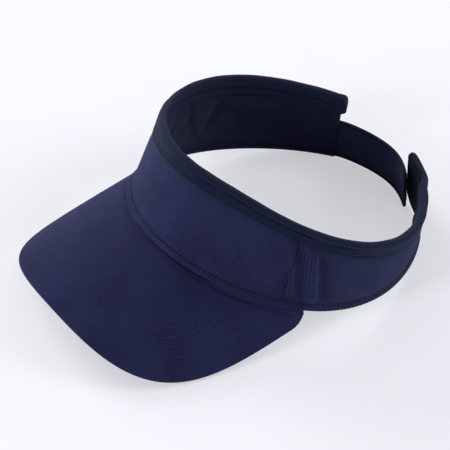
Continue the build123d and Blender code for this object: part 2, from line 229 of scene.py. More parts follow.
# %% Woven cloth
def woven(name, pale, dark, rib, depth, turn=0.0, shares=(0.4, 0.45)):
    """Ribs of one pitch and depth in millimetres; `shares` is how much ribs and yarn do to the colour."""
    m = new_material(name)
    place = add(m, "ShaderNodeTexCoord")
    lay = add(m, "ShaderNodeMapping", {"Rotation": (0, 0, math.radians(turn))},
              {"Vector": place.outputs["UV"]})
    # a wave repeats every 2 pi / 20 of its scaled coordinate
    ribs = add(m, "ShaderNodeTexWave", {"Scale": 0.31416 / rib, "Distortion": 0.9, "Detail": 2.0,
                                       "Detail Scale": 1.0}, {"Vector": lay.outputs[0]})
    # yarn is uneven over a few millimetres; cloth fades and creases over a few centimetres
    yarn = add(m, "ShaderNodeTexNoise", {"Scale": 0.9, "Detail": 3.0}, {"Vector": place.outputs["UV"]})
    wash = add(m, "ShaderNodeTexNoise", {"Scale": 0.035, "Detail": 2.0}, {"Vector": place.outputs["UV"]})
    shade = add(m, "ShaderNodeMath", {"operation": "MULTIPLY_ADD", 1: shares[0]},
                {0: ribs.outputs["Fac"], 2: wash.outputs["Fac"]})
    shade = add(m, "ShaderNodeMath", {"operation": "MULTIPLY_ADD", 1: shares[1]},
                {0: yarn.outputs["Fac"], 2: shade.outputs[0]})
    height = add(m, "ShaderNodeMath", {"operation": "MULTIPLY_ADD", 1: 0.5},
                 {0: yarn.outputs["Fac"], 2: ribs.outputs["Fac"]})
    return fibrous(m, shade.outputs[0], height.outputs[0], (0.45, 1.0), dark, pale, depth, {
        "Roughness": 0.85, "Specular IOR Level": 0.12, "Sheen Weight": 0.09, "Sheen Roughness": 0.45,
        "Sheen Tint": colour("#8f9cd6")})


# %% [markdown]
# The band's twill has ribs 1.6 mm apart, which run up the wall. On the brim the cloth is cut so that its ribs
# cross at a slant, and they are finer. Both are drawn coarser than real twill, so that the ribs show. The tape
# on the top edge is a darker, tighter weave.

# %% The cloths of the visor
BAND_TWILL = woven("cotton_twill_band", "#242749", "#0e1024", 1.6, 0.30)
BRIM_TWILL = woven("cotton_twill_brim", "#1f2245", "#0d0f25", 1.3, 0.22, turn=60, shares=(0.25, 0.65))
BINDING_TWILL = woven("cotton_twill_binding", "#121a30", "#090d1a", 0.9, 0.16, turn=45, shares=(0.2, 0.8))
CLOSURE_TWILL = woven("cotton_twill_closure", "#1a1e37", "#0e1021", 0.9, 0.10, turn=45, shares=(0.2, 0.8))
LINING = woven("cotton_sweatband", "#171a30", "#0c0f1d", 0.9, 0.08, turn=-45, shares=(0.2, 0.8))

# %% [markdown]
# Sewing thread is two or three plies of spun polyester. It is smoother than the cloth and catches a small
# highlight on each stitch.

# %% Thread, piles and the hidden layers
def speckled(name, pale, dark, size, depth, roughness, sheen=0.0):
    """A material with speckles of one size in millimetres."""
    m = new_material(name)
    place = add(m, "ShaderNodeTexCoord")
    grain = add(m, "ShaderNodeTexNoise", {"Scale": 1000.0 / size / 3, "Detail": 3.0},
                {"Vector": place.outputs["Object"]})
    return fibrous(m, grain.outputs["Fac"], grain.outputs["Fac"], (0.35, 0.65), dark, pale, depth, {
        "Roughness": roughness, "Sheen Weight": sheen, "Specular IOR Level": 0.2})


THREAD = speckled("spun_polyester_thread", "#2c3058", "#1c2040", 0.3, 0.05, 0.8)
# the dark thread is a dark navy made near-black: partly its own colour, partly painted shade of stitches sunk
# into the cloth
DARK_THREAD_AND_SHADE = speckled("spun_polyester_thread_dark_and_painted_shade", "#090b15", "#05060c", 0.3, 0.05, 0.7)
TAPE_THREAD = speckled("spun_polyester_thread_navy", "#0f1528", "#090c18", 0.3, 0.05, 0.8)
LOOPS = speckled("brushed_nylon_loops", "#191c2e", "#0e1019", 0.5, 0.3, 0.8, 0.3)
HOOKS = speckled("moulded_nylon_hooks", "#0c1226", "#070a18", 0.8, 0.02, 0.6)
BUCKRAM = speckled("bonded_cotton_buckram", "#23242b", "#17181e", 0.8, 0.1, 0.9)
FOAM = speckled("open_cell_urethane_foam", "#3a3b40", "#26272c", 0.6, 0.2, 0.95)
BOARD = speckled("pressed_polyethylene_board", "#2b2d33", "#202227", 2.0, 0.02, 0.45)

HIDDEN = {"front_stiffener": BUCKRAM, "left_interlining": BUCKRAM, "right_interlining": BUCKRAM,
          "sweatband_foam": FOAM, "brim_board": BOARD}
for node, material in HIDDEN.items():
    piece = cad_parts[node]
    piece.data.materials.clear()
    piece.data.materials.append(material)
print("kept from the CAD", sorted(HIDDEN))

# %% [markdown]
# ## Turning rows of spots into cloth
# Cloth could be one face with a solidify modifier, but a real cut edge is turned under and rounded, and the
# two faces wrinkle apart. So each piece is a closed skin of two grids, an outer and an inner one, that share
# their border. Near an edge the skin thins along a quarter of an ellipse, which rounds it.

# %% Mesh helpers
def to_scene(name, data):
    item = bpy.data.objects.new(name, data)
    bpy.context.scene.collection.objects.link(item)
    return item


def to_piece(name, spots, faces, uv, material, body, slot, *nodes):
    """Makes the mesh object, gives it a UV map in millimetres, ties it to its CAD body if it has one, and hides
    its CAD nodes.
    """
    mesh = bpy.data.meshes.new(name)
    mesh.from_pydata((np.asarray(spots) * MM).tolist(), [], faces)
    layer = mesh.uv_layers.new(name="cloth")
    index = np.zeros(len(mesh.loops), int)
    mesh.loops.foreach_get("vertex_index", index)
    layer.data.foreach_set("uv", np.asarray(uv, np.float32)[index].ravel())
    mesh.shade_smooth()
    mesh.materials.append(material)
    piece = to_scene(name, mesh)
    if body:
        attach(piece, body)
    if nodes:
        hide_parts(*nodes)
    print(name, len(spots), "spots", len(faces), "faces")
    return piece


def rounded_off(distance, radius):
    """How full the cloth is near an edge: 0 at it, 1 from one radius on."""
    return np.sqrt(np.clip(1 - (1 - np.clip(distance / radius, 0, 1)) ** 2, 0, 1))


def stations(low, high, step, radius):
    """Places from low to high, closer at both ends where the cloth rounds off."""
    near = radius * np.array([0, 0.13, 0.5])
    count = max(2, int(np.max(high - low) / step))
    middle = np.linspace(0, 1, count)
    low, high = np.asarray(low)[..., None], np.asarray(high)[..., None]
    between = low + radius + (high - low - 2 * radius) * middle
    return np.concatenate([low + near, between, high - near[::-1]], -1)


def two_faces(outer, inner, uv_outer, uv_inner):
    """Spots, faces and UVs of a closed skin from two grids with one border."""
    n, m, _ = outer.shape
    top = np.arange(n * m).reshape(n, m)
    low = top.copy()
    low[1:-1, 1:-1] = n * m + np.arange((n - 2) * (m - 2)).reshape(n - 2, m - 2)
    spots = np.concatenate([outer.reshape(-1, 3), inner[1:-1, 1:-1].reshape(-1, 3)])
    uv = np.concatenate([uv_outer.reshape(-1, 2), uv_inner[1:-1, 1:-1].reshape(-1, 2)])
    quads = lambda g: np.stack([g[:-1, :-1], g[1:, :-1], g[1:, 1:], g[:-1, 1:]], -1).reshape(-1, 4)
    return spots, quads(top).tolist() + quads(low)[:, ::-1].tolist(), uv


def tube(rings, uv):
    """Spots, faces and UVs of a closed section carried along a run, with its two ends filled."""
    n, m, _ = rings.shape
    g = np.arange(n * m).reshape(n, m)
    h = np.roll(g, -1, axis=1)
    sides = np.stack([g[:-1], g[1:], h[1:], h[:-1]], -1).reshape(-1, 4).tolist()
    return rings.reshape(-1, 3), sides + [g[0].tolist(), g[-1][::-1].tolist()], uv.reshape(-1, 2)


def run_along(path):
    """Distance of each spot of a path from its start."""
    return np.concatenate([[0], np.cumsum(np.linalg.norm(np.diff(path, axis=0), axis=1))])


def run_faces(rings, around):
    """Faces of a small closed section carried over some rings, with both ends filled."""
    g = np.arange(rings * around).reshape(rings, around)
    h = np.roll(g, -1, axis=1)
    sides = np.stack([g[:-1], h[:-1], h[1:], g[1:]], -1).reshape(-1, 4).tolist()
    return sides + [g[0][::-1].tolist(), g[-1].tolist()]


def cloth_uv(angle, up):
    return np.stack(np.broadcast_arrays(ring_run(angle), up), -1)


print("helpers ready")

# %% [markdown]
# ## How the cloth eases
# Sewn cloth lies tight only at its seams. Between them the outer twill stands off a little, and it puckers
# where the left side panel was eased into its seam: one soft ridge runs from the binding to the hem. The
# lining is looser and has slanting wrinkles. Both functions are zero under the tapes, where thread holds
# every layer flat.

# %% Ease of the twill and slack of the lining
def held_by_tapes(angle, up, leg, reach=7.0):
    """0 under a tape, 1 from `reach` millimetres beyond it."""
    to_hem = up - HEM - 0.3
    to_binding = crest(angle) - leg - 0.3 - up
    to_right = (angle - RIGHT_END) * mm_per_degree(angle) - END_TAPE
    to_left = (LEFT_END - angle) * mm_per_degree(angle) - END_TAPE
    nearest = np.minimum(np.minimum(to_hem, to_binding), np.minimum(to_right, to_left))
    return smooth(nearest / reach)


def hump(distance, width):
    return np.exp(-(distance / width) ** 2)


def eased(angle, up):
    """How far the twill stands off its flat place."""
    angle, up = np.broadcast_arrays(np.asarray(angle, float), np.asarray(up, float))
    from_seam = (np.abs(angle) - seam_at(up)) * ON_SIDES
    puff = 0.9 * (1 - hump(from_seam, 3.0))
    waves = 0.22 * np.sin(angle * 0.31 + up * 0.11) * np.sin(angle * 0.13 - up * 0.17 + 1.3)
    # the ridge stands between two valleys, and a smaller one lies against the seam
    along = (angle - (64.4 - 1.6 * (up - 5) / 45)) * ON_SIDES
    pucker = 1.9 * hump(along + 9.0, 2.2) - 0.9 * hump(along + 3.4, 2.2) + 4.4 * hump(along - 2.2, 2.4)
    pucker = pucker - 0.9 * hump(along - 8.4, 3.6) * smooth((46 - up) / 16) + 0.4 * hump(along - 20, 6)
    pucker = pucker - 1.1 * hump(angle + 60, 14)        # and the right temple lies flatter
    pucker = pucker * (0.2 + 0.8 * smooth((up - STITCH_UP) / 9))
    dip = 0.5 * hump(up - STITCH_UP, 0.8) + 0.9 * hump(up - 7.0, 2.4)
    free = held_by_tapes(angle, up, outer_leg(angle), 4.0)
    return np.maximum((puff + waves + pucker) * free - dip, -0.15)


# wrinkles of the lining as (angle, height) of both ends, width and depth in millimetres
WRINKLES = [
    (-98.5, 43, -92.5, 31, 3.2, 3.2), (-93.0, 31, -89.0, 20, 2.6, 2.2), (-101.0, 28, -106.5, 20, 4.2, 3.0),
    (-107, 20, -120, 15, 5.0, 1.8), (-82.0, 46, -80.0, 30, 2.6, 2.2), (-80.0, 30, -85.0, 14, 3.2, 2.4),
    (-112, 40, -122, 30, 5.5, -1.2), (-126, 36, -131, 14, 5.0, 1.4), (-70, 40, -62, 18, 3.0, 1.4),
    (-52, 42, -58, 16, 3.2, 0.9), (20, 40, 32, 14, 5.0, 0.7), (84, 34, 96, 14, 4.0, 0.9),
]


def slack(angle, up):
    """How far the lining sags inwards: soft waves, and slanting wrinkles that fold away from the wearer."""
    angle, up = np.broadcast_arrays(np.asarray(angle, float), np.asarray(up, float))
    sag = 2.9 + 0.4 * np.sin(angle / 5.5 + up / 14) * np.sin(angle / 14 - up / 11)
    for first, low, last, high, width, depth in WRINKLES:
        run = np.array([(last - first) * ON_SIDES, high - low], float)
        share = np.clip(((angle - first) * ON_SIDES * run[0] + (up - low) * run[1]) / (run @ run), 0, 1)
        gap = np.hypot((angle - first) * ON_SIDES - share * run[0], up - low - share * run[1])
        sag = sag - depth * hump(gap, width) * (0.35 + 0.65 * np.sin(np.pi * np.clip(share, 0.05, 0.95)))
    return np.maximum(sag, 0) * held_by_tapes(angle, up, INNER_LEG, 8.0) * smooth((up - 4) / 22)


print("pucker stands", round(float(eased(65.3, 30.0)), 2), "mm")

# %% [markdown]
# ## Panels and sweatband
# Three twill panels make the outside: the forehead between two side seams, and a panel to each rear end.
# The sweatband is one long strip inside. Each is a sheet that lies on the wall.

# %% Sheets on the wall
def wall_sheet(name, first, last, layer, stand, turn_under, material, slot, node):
    """A sheet between two ends, each an angle or the slanted seam; its outer face turns under there."""
    share = stations(np.array(0.0), np.array(1.0), 0.0042, 0.006)
    tall = 60.0           # the grid is laid out on a wall of this height and stretched to the real one
    heights = stations(np.full(share.shape, CUT), np.full(share.shape, tall), 1.1, 0.35)
    from_foot = (heights - CUT) / (tall - CUT)

    def border(side):
        """Angle of one end at each height; a slanted seam needs the height, so it is found in a few turns."""
        ups = tall * from_foot
        for _ in range(5):
            at = side(ups) if callable(side) else side + 0 * ups
            ups = CUT + (crest(at) - 2 * CUT) * from_foot
        return at

    a = border(first) + (border(last) - border(first)) * share[:, None]
    ups = CUT + (crest(a) - 2 * CUT) * from_foot
    middle, half = (layer[0] + layer[1]) / 2, (layer[1] - layer[0]) / 2
    upright = np.minimum(ups - CUT, crest(a) - CUT - ups)
    sideways = np.minimum(a - a[:1], a[-1:] - a) * mm_per_degree(a)
    full = rounded_off(np.maximum(np.minimum(upright, sideways), 0), 0.35)
    under = 2 * half * (1 - rounded_off(np.maximum(sideways, 0), turn_under)) if turn_under else 0
    off = stand(a, ups)
    uv = cloth_uv(a, ups)
    outer = wall(a, ups, middle + off + half * full - under)
    inner = wall(a, ups, middle + off - half * full - under)
    return to_piece(name, *two_faces(outer, inner, uv, uv), material, "band", slot, node)


wall_left = LEFT_END - degrees_for(CUT, LEFT_END)
wall_right = RIGHT_END + degrees_for(CUT, RIGHT_END)
right_seam = lambda up: -seam_at(up)
outside = (TWILL, eased, 1.9, BAND_TWILL, "twill")
forehead = wall_sheet("forehead_twill", right_seam, seam_at, *outside, "front_panel")
left_twill = wall_sheet("left_side_twill", seam_at, wall_left, *outside, "left_side_panel")
right_twill = wall_sheet("right_side_twill", wall_right, right_seam, *outside, "right_side_panel")
lining = wall_sheet("sweatband_lining", wall_right, wall_left, SWEAT, lambda a, u: -slack(a, u), 0, LINING,
                    "sweatband", "sweatband")

# %% [markdown]
# ## Bindings
# A wide tape is folded over the top edge and sewn through with two rows outside and one inside. A narrow
# one closes the lower edge, and short ones close the two upright ends. A folded tape is a section of two
# legs and a rolled fold, carried along the edge. Its outer face dips at each row of thread and swells
# between the rows, because thread pulls cloth down.

# %% Tapes along the top and bottom
OUT_ROWS = (1.6, 4.4)          # rows of thread, up from the lower edge of the outer leg
IN_ROW = 7.5                   # down from the fold on the inner leg
OUT_DIPS = ((OUT_ROWS[0], 0.35, 0.5), (OUT_ROWS[1], 0.35, 0.7))      # each row's place, share of the dip, width
IN_DIPS = ((INNER_LEG - IN_ROW, 1.2, 0.9),)


def leg_swell(up, top, rows, swell, dip):
    """Swell of a leg above its lower edge, with a dip at each row of thread."""
    rise = swell * smooth(up / top * 1.2)
    rise = rise + 0.35 * rounded_off(np.maximum(up, 0), 1.0) - 0.4 * (1 - rounded_off(up + 0.03, 0.3))
    for row, share, width in rows:
        rise = rise - dip * share * hump(up - row, width)
    return rise


def leg_faces(leg, rows, roll, swell, dip, count):
    """Heights above a leg's lower edge and distances out, for the leg's length at each angle."""
    share = np.concatenate([[0, 0.004, 0.02], np.linspace(0.05, 1, count)])
    up = share * (leg - roll)[:, None]
    rise = leg_swell(up, (leg - roll)[:, None], rows, swell, dip)
    return up, TAPE[1] - 0.2 + rise


def folded_section(out_leg, in_leg, rows_out, rows_in, roll, swell, dip, count):
    """A folded tape's closed section at each angle: heights from the fold, and distances out."""
    out_up, out_off = leg_faces(out_leg, rows_out, roll, swell, dip, count)
    in_up, in_off = leg_faces(in_leg, rows_in, roll, swell * 0.9, dip, count)
    t = np.radians(np.linspace(7, 173, 17))[None]
    reach_out, reach_in = out_off[:, -1:], in_off[:, -1:]
    bend_off = np.where(np.cos(t) > 0, reach_out, reach_in) * np.cos(t)
    bend_up = -roll + roll * np.sin(t) + 0 * reach_out
    back = np.array([0.1, 0.5, 0.8])
    back_in = -in_leg[:, None] + back * (in_leg[:, None] - 0.8)
    back_out = (-out_leg[:, None] + back * (out_leg[:, None] - 0.8))[:, ::-1]
    tip = np.full((len(out_leg), 1), -0.8)
    ups = np.concatenate([out_up - out_leg[:, None], bend_up, in_up[:, ::-1] - in_leg[:, None],
                          back_in, tip, tip, back_out], 1)
    inner = np.concatenate([-TAPE[0] + 0 * back_in, tip * 0 - 1.2, tip * 0 + 1.2, TAPE[0] + 0 * back_out], 1)
    outs = np.concatenate([out_off, bend_off, -in_off[:, ::-1], inner], 1)
    return ups, outs


def tape_on_edge(name, section, overhang, material, node):
    """A folded tape carried along the band, a little past both ends, where it closes to a rounded end."""
    lo = RIGHT_END - degrees_for(overhang[0], RIGHT_END)
    hi = LEFT_END + degrees_for(overhang[1], LEFT_END)
    radius = 1.4                 # of the rounded ends, in millimetres
    angles = stations(np.array(lo), np.array(hi), 0.6, radius / AT_ENDS)
    spare = np.minimum(angles - lo, hi - angles) * mm_per_degree(angles)
    shrink = 0.3 + 0.7 * rounded_off(spare + 0.02, radius)
    ups, outs = section(angles)
    spots = wall(angles[:, None], ups, outs * shrink[:, None])
    steps = [np.diff(q, axis=1, prepend=q[:, :1]) for q in (ups, outs)]
    run = np.cumsum(np.hypot(*steps), 1)
    skin = tube(spots[:, ::-1], cloth_uv(angles[:, None], run)[:, ::-1])
    return to_piece(name, *skin, material, "band", "binding", node)


def top_section(angles):
    """The top tape's section, with what its right end and its front do differently."""
    # past the right end the fold is tucked over the end of the band and makes a soft lump
    lump = smooth((RIGHT_END + 1.6 - angles) / 2.4)
    # along the front the tape is creased halfway down, where it was first pressed
    pressed = smooth((angles - 2) / 16) * smooth((88 - angles) / 16) * (0.9 + 0.25 * np.sin(angles / 2.3))
    dips = OUT_DIPS + ((6.9 + 0.4 * np.sin(angles / 4.1)[:, None], 1.3 * pressed[:, None], 1.2),)
    ups, outs = folded_section(outer_leg(angles) + 3.4 * lump, INNER_LEG + 2.6 * lump, dips, IN_DIPS,
                               2.0, 0.6, 0.95, 44)
    wander = 0.12 * np.sin(angles[:, None] * 0.5 + ups * 0.6) * (np.abs(outs) > 1.7)
    # a crease parts the lump from the rest, and the lump is round from top to bottom
    crease = hump((angles - RIGHT_END - 2.6) * AT_ENDS, 0.9)
    from_right = (angles - angles[0]) * mm_per_degree(angles)
    from_left = (angles[-1] - angles) * mm_per_degree(angles)
    temple = 0.2 * hump(angles + 66, 22)
    fuller = (1 + 0.3 * lump - 0.16 * crease - temple)[:, None]
    outs = outs * fuller * (0.94 + 0.06 * rounded_off(from_left, 9.0))[:, None] + wander * np.sign(outs)
    # past the end of the band there is nothing between the legs, so they close on each other
    past = smooth((RIGHT_END + 0.4 - angles) / 1.4)[:, None]
    outs = outs * (1 - 0.85 * past * np.maximum(smooth((-ups - 9) / 5), (np.abs(outs) < 1.6)))
    ups = -7.5 + (ups + 7.5) * (0.62 + 0.38 * rounded_off(from_right, 3.0))[:, None]
    ups = ups - 2.8 * (1 - rounded_off(from_right, 7.0))[:, None] * smooth((ups + 9) / 6)
    lift = 0.9 * hump(angles + 106, 22)[:, None] * smooth((ups + 8) / 6)
    return crest(angles)[:, None] + ups + lift, outs


def hem_section(angles):
    """The outer leg runs up to the row of thread and thins to nothing there, as the cloth's own turned edge."""
    ups, outs = folded_section(STITCH_UP - 0.6 + 0 * angles, 2.2 + 0 * angles, (), (), 1.6, 0.35, 0, 12)
    puckers = 0.12 * np.sin(angles[:, None] * 3.7) * hump(ups + 1.8, 1.4)
    thin = smooth((-ups - 2.2) / 2.2) * (outs > 1.7)
    # over the brim the lip is fuller and stands up from it, which leaves a dark gap
    over = smooth((60 - np.abs(angles)) / 10)[:, None]
    fuller = puckers + 0.1 + over * (0.7 + 0.5 * hump(ups + 2.3, 1.9))
    outs = outs + fuller * (outs > 1.7) - (0.8 + 0.5 * over) * thin
    drop = -0.9 * over * smooth((ups + 3) / 3)
    return -ups - drop, outs


top_tape = tape_on_edge("top_binding_tape", top_section, (3.6, 0.6), BINDING_TWILL, "top_binding")
hem_tape = tape_on_edge("hem_tape", hem_section, (0.5, 0.4), BAND_TWILL, "bottom_binding")

# %% Tapes on the two upright ends
def end_tape(name, end, inward, node):
    """A tape folded over an upright end of the band, between the hem and the top tape."""
    leg, row = np.array([END_TAPE]), ((2.6, 1, 0.6),)
    into, outs = folded_section(leg, leg, row, row, 1.3, 0.2, 0.3, 14)
    share = np.linspace(0, 1, 34)[:, None]
    angle = end - inward * degrees_for(into, end) + 0 * share
    low = HEM - 0.6
    high = crest(angle) - np.where(outs > 0, outer_leg(angle), INNER_LEG) + 0.8
    up = low + (high - low) * share
    spots = wall(angle, up, outs)
    if inward > 0:
        spots = spots[:, ::-1]
    skin = tube(spots, np.stack([up, into + 0 * up], -1))
    return to_piece(name, *skin, BINDING_TWILL, "band", "binding", node)


right_tape = end_tape("right_end_tape", RIGHT_END, 1, "right_end_binding")
left_tape = end_tape("left_end_tape", LEFT_END, -1, "left_end_binding")

# %% [markdown]
# ## Rows of thread
# A lockstitch shows as short straight beads with a dip between them, where the thread goes down through the
# cloth. Each row is drawn as separate rounded beads, 2.6 mm apart or 2.9 mm along the hem. A dashed texture
# would be lighter work, but beads catch the light and have an outline from the side.

# %% Beads along a row
def beads(rows, pitch=2.6, length=2.1, width=0.5, height=0.42):
    """Spots, faces and UVs of rounded beads along rows of (spots, directions away from the cloth)."""
    ring = np.radians(np.arange(0, 360, 60))
    at = np.array([-1, -0.88, -0.55, 0.55, 0.88, 1])
    thick = np.array([0.25, 0.7, 1, 1, 0.7, 0.25])
    spots, faces = [], []
    bead_faces = run_faces(len(at), len(ring))
    for path, away in rows:
        reach = run_along(path)
        count = int((reach[-1] - length) / pitch)
        for middle in length / 2 + 0.2 + pitch * np.arange(max(count, 0)):
            near, far = [np.array([np.interp(middle + d, reach, path[:, k]) for k in range(3)])
                         for d in (-length / 2, length / 2)]
            up = np.array([np.interp(middle, reach, away[:, k]) for k in range(3)])
            run = (far - near) / np.linalg.norm(far - near)
            up = up - run * (up @ run)
            up /= np.linalg.norm(up)
            side = np.cross(run, up)
            base = len(at) * len(ring) * len(spots)
            line = near[None] + (far - near)[None] * ((at + 1) / 2)[:, None]
            line = line + up * (0.12 * (1 - at ** 2) - 0.06)[:, None]
            loop = np.cos(ring)[None, :, None] * side * width / 2
            loop = loop + np.sin(ring)[None, :, None] * up * height / 2
            spots.append((line[:, None] + loop * thick[:, None, None]).reshape(-1, 3))
            faces += [[base + k for k in face] for face in bead_faces]
    spots = np.concatenate(spots)
    return spots, faces, spots[:, :2]


def wall_row(first, last, up, out, side):
    """A row along the wall; its place up and out is a number or a function of the angle."""
    angles = np.arange(first, last, 0.4)
    up, out = [q(angles) if callable(q) else q for q in (up, out)]
    path = wall(angles, up, out)
    return path, wall(angles, up, out + side) - path


hem_in = degrees_for(END_TAPE + 0.3, LEFT_END)
hem_ends = RIGHT_END + hem_in, LEFT_END - hem_in
hem_rows = [
    wall_row(*hem_ends, STITCH_UP, lambda a: TWILL[1] + 0.1 + eased(a, STITCH_UP), 1),
    wall_row(*hem_ends, STITCH_UP_INSIDE, SWEAT[0] - 0.1, -1),
]
# near-black beads along the hem: painted shade where the stitches sink into the cloth
hem_thread = to_piece("hem_thread", *beads(hem_rows, 2.9, 2.0, 0.95, 0.5), DARK_THREAD_AND_SHADE, "band", "thread",
                      "hem_topstitch")
tape_ends = RIGHT_END + 2.4, LEFT_END - 1.2
tape_rows = [wall_row(*tape_ends, lambda a, r=r: crest(a) - outer_leg(a) + r, TAPE[1] + 0.02, 1)
             for r in OUT_ROWS] + [wall_row(*tape_ends, lambda a: crest(a) - IN_ROW, -TAPE[1] - 0.06, -1)]
tape_thread = to_piece("binding_thread", *beads(tape_rows), TAPE_THREAD, "band", "thread", "binding_topstitch")

# %% [markdown]
# ## Brim
# The brim is a stiff board between two twill covers. The covers are sewn together round the outer edge,
# turned, and pressed, so the rim is round with a fine groove where the seam lies. Four rows of thread run
# parallel to the rim. The cloth is laid out as lines that run from the rim to the forehead, with places set
# by their distance from the rim, so that the rows of thread and the rounding follow it exactly.

# %% The brim's plan
def bezier(points, count):
    t = np.linspace(0, 1, count)[:, None]
    p = [np.array(q, float) for q in points]
    return (1 - t) ** 3 * p[0] + 3 * t * (1 - t) ** 2 * p[1] + 3 * t ** 2 * (1 - t) * p[2] + t ** 3 * p[3]


def foot(angle, away):
    return (lower_edge(angle) + outward(angle) * np.asarray(away)[..., None])[..., :2]


BRIM_SEAM = TAPE[1] + 0.3
heel = foot(np.array(BRIM_END), BRIM_SEAM - 2)
BRIM_FRONT, BRIM_SIDE = -179.2, 85.4
front_edge = bezier([(0, BRIM_FRONT), (84.6, BRIM_FRONT), (BRIM_SIDE, -126.7), (BRIM_SIDE, -58)], 220)
heel_edge = bezier([(BRIM_SIDE, -58), (BRIM_SIDE, -50), (heel[0] + 1, heel[1] - 4), heel], 60)[1:]
half = np.concatenate([front_edge, heel_edge])
ring_line = foot(np.linspace(-90, 90, 721), np.full(721, BRIM_SEAM))
ring_turn = np.arctan2(ring_line[:, 0], -ring_line[:, 1])
ring_far = np.hypot(ring_line[:, 0], ring_line[:, 1])


def past_ring(spots):
    """How far plan positions lie outside the band."""
    turn = np.arctan2(spots[:, 0], -spots[:, 1])
    return np.hypot(spots[:, 0], spots[:, 1]) - np.interp(turn, ring_turn, ring_far)


half = half[past_ring(half) >= 0]
rim = np.concatenate([half[::-1] * (-1, 1), half[1:]])
rim_reach = run_along(rim)
corner_turn = math.atan2(half[-1][0], -half[-1][1])
print("rim", round(float(rim_reach[-1])), "mm long")

# %% [markdown]
# The covers and the board share one arched, sloping surface. Each layer is that surface moved along its own
# upward direction.

# %% The brim's surface
ARCH, CROWN, HALF_THICK = 118.0, 42.3, 1.48
SLOPE, FOREHEAD = 0.221, 102.5        # rise for each millimetre towards the back, and where the forehead is


def brim_spot(plan, above):
    """Spots on the brim, from a plan position on its middle surface and a distance above it."""
    x, y = plan[..., 0], plan[..., 1]
    radius = ARCH - HALF_THICK
    z = CROWN + SLOPE * (y + FOREHEAD) - ARCH + np.sqrt(radius ** 2 - x ** 2)
    up = np.stack([x / radius, 0 * x, np.sqrt(1 - (x / radius) ** 2)], -1)
    return np.stack([x, y, z], -1) + up * np.asarray(above)[..., None]


def from_rim(plan):
    """Distance of plan positions from the rim."""
    best = np.full(plan.shape[:-1], 1e9)
    for a, b in zip(rim[:-1], rim[1:]):
        share = np.clip(((plan - a) @ (b - a)) / ((b - a) @ (b - a)), 0, 1)
        best = np.minimum(best, np.linalg.norm(plan - a - share[..., None] * (b - a), axis=-1))
    return best


columns = 301
share = np.linspace(0, 1, columns)
start = np.stack([np.interp(share * rim_reach[-1], rim_reach, rim[:, k]) for k in (0, 1)], -1)
turn_at = np.interp((share * 2 - 1) * corner_turn, ring_turn, np.linspace(-90, 90, 721))
finish = foot(turn_at, np.full(columns, 0.5))        # the covers run on under the band
trial = np.linspace(0, 1, 60)
depths = from_rim(start[:, None] + (finish - start)[:, None] * trial[None, :, None])
depths = np.maximum.accumulate(depths, axis=1)
ROW_INSETS = 11.5 + 5.2 * np.arange(4)
wanted = np.concatenate([[0, 0.12, 0.4, 0.8, 1.3, 2, 3, 4.5, 6.5, 8.5]] +
                        [r + np.array([-1.8, -0.9, -0.4, 0, 0.4, 0.9, 1.8]) for r in ROW_INSETS])
lines = []
for i in range(columns):
    reach = depths[i, -1]
    here = wanted * min(1.0, 0.8 * reach / wanted[-1])
    at = np.interp(here, depths[i], trial)
    rest = at[-1] + (1 - at[-1]) * np.linspace(0, 1, 22)[1:]
    lines.append(np.concatenate([at, rest]))
lines = np.array(lines)
plan = start[:, None] + (finish - start)[:, None] * lines[..., None]
inset = from_rim(plan)
to_ring = np.linalg.norm(plan - finish[:, None], axis=-1)
meets_band = lower_edge(turn_at)[:, 2] + 1.9 - brim_spot(finish, np.zeros(columns))[:, 2]
print("brim grid", plan.shape[:2])

# %% The two covers and the rows of thread
def brim_cover(name, side, node):
    full = rounded_off(inset, HALF_THICK)
    outer = 0.02 + (HALF_THICK - 0.02) * full
    swell = 0.2 * smooth(inset / 6)
    for row in ROW_INSETS:
        swell = swell - 0.09 * hump(inset - row, 0.6)
    outer = outer + (swell if side > 0 else 0.5 * swell)
    if side < 0:            # the seam allowance lies on the upper side, so the rim is flatter below
        outer = outer * (0.6 + 0.4 * smooth((inset - 0.3) / 5))
    inner = np.maximum(0.78 * rounded_off(inset - 0.7, 0.78), 0.02)
    # past the board the two covers come together and are sewn up into the band's lower edge
    closing = rounded_off(np.minimum(np.maximum(to_ring - 1.8, 0), 9), 4.2)
    outer, inner = 0.45 + (outer - 0.45) * closing, 0.03 + (inner - 0.03) * closing
    edge = rounded_off(np.minimum(to_ring, 9), 0.2)
    middle = (outer + inner) / 2
    outer, inner = middle + (outer - middle) * edge, middle + (inner - middle) * edge
    tuck = smooth(1 - to_ring / 2.0)[..., None] * meets_band[:, None, None] * np.array([0, 0, 1])
    skin = two_faces(brim_spot(plan, side * outer) + tuck, brim_spot(plan, side * inner) + tuck, plan, plan)
    if side > 0:
        skin = (skin[0], [f[::-1] for f in skin[1]], skin[2])
    return to_piece(name, *skin, BRIM_TWILL, "band", "brim_twill", node)


top_cover = brim_cover("brim_top_twill", 1, "brim_top_cover")
under_cover = brim_cover("brim_under_twill", -1, "brim_under_cover")


def brim_row(inset_by):
    """A row of thread parallel to the rim, as far as the band."""
    step = np.gradient(rim, axis=0)
    step /= np.linalg.norm(step, axis=1, keepdims=True)
    path = rim + np.stack([-step[:, 1], step[:, 0]], -1) * inset_by
    path = path[(past_ring(path) > 1.5) & (from_rim(path) > inset_by - 0.4)]
    at = lambda above: brim_spot(path, np.full(len(path), above))
    return at(HALF_THICK + 0.1), at(1.0) - at(0.0)


brim_thread = to_piece("brim_thread", *beads([brim_row(r) for r in ROW_INSETS]), THREAD, "band", "thread",
                       "brim_topstitch")

# %% [markdown]
# ## Closure
# A strap on the right end passes inside a wider tab on the left end, and they hold by a hook pile on the
# tab and a loop pile on the strap. Each is two plies of twill, sewn round the edge. Where a ply leaves the
# band it bends when the closure opens; here the plies are not blended, and they are tied to no body.

# %% Strap and tab plies
STRAP_LOW, STRAP_HIGH, TAB_HIGH = 1.0, 32.0, 46.5
STRAP_CORNER, TAB_CORNER = 4.5, 12.0


